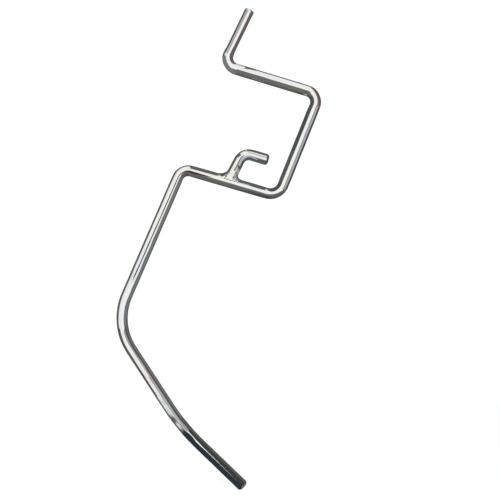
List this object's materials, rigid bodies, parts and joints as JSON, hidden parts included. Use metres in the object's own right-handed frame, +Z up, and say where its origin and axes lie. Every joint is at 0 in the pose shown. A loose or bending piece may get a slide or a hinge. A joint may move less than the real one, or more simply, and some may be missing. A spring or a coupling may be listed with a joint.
{
  "type": "drill paint mixer",
  "caption": "Paint mixer for a drill, bent from round steel bar: a straight shank, an offset crank and a bent stirring leg, with a short hook welded on the crank's lower arm.",
  "frame": {"origin": "on the shank's axis, half way along the turned length that a drill chuck grips", "axes": "+Z runs up the shank's axis towards the drill; the bent shape lies flat in the XZ plane, with the crank, the hook and the stirring leg on the +X side; +Y is square to that plane"},
  "size_m": [0.1467, 0.0098, 0.3055],
  "materials": {
    "plated_bar": "bright plated drawn steel bar",
    "plated_weld": "bright plating over an as-welded surface, rippled with a few small pits"
  },
  "bodies": {
    "root": {"mixing_rod": "plated_bar", "hanging_hook": "plated_bar", "weld_bead": "plated_weld"}
  },
  "joints": []
}
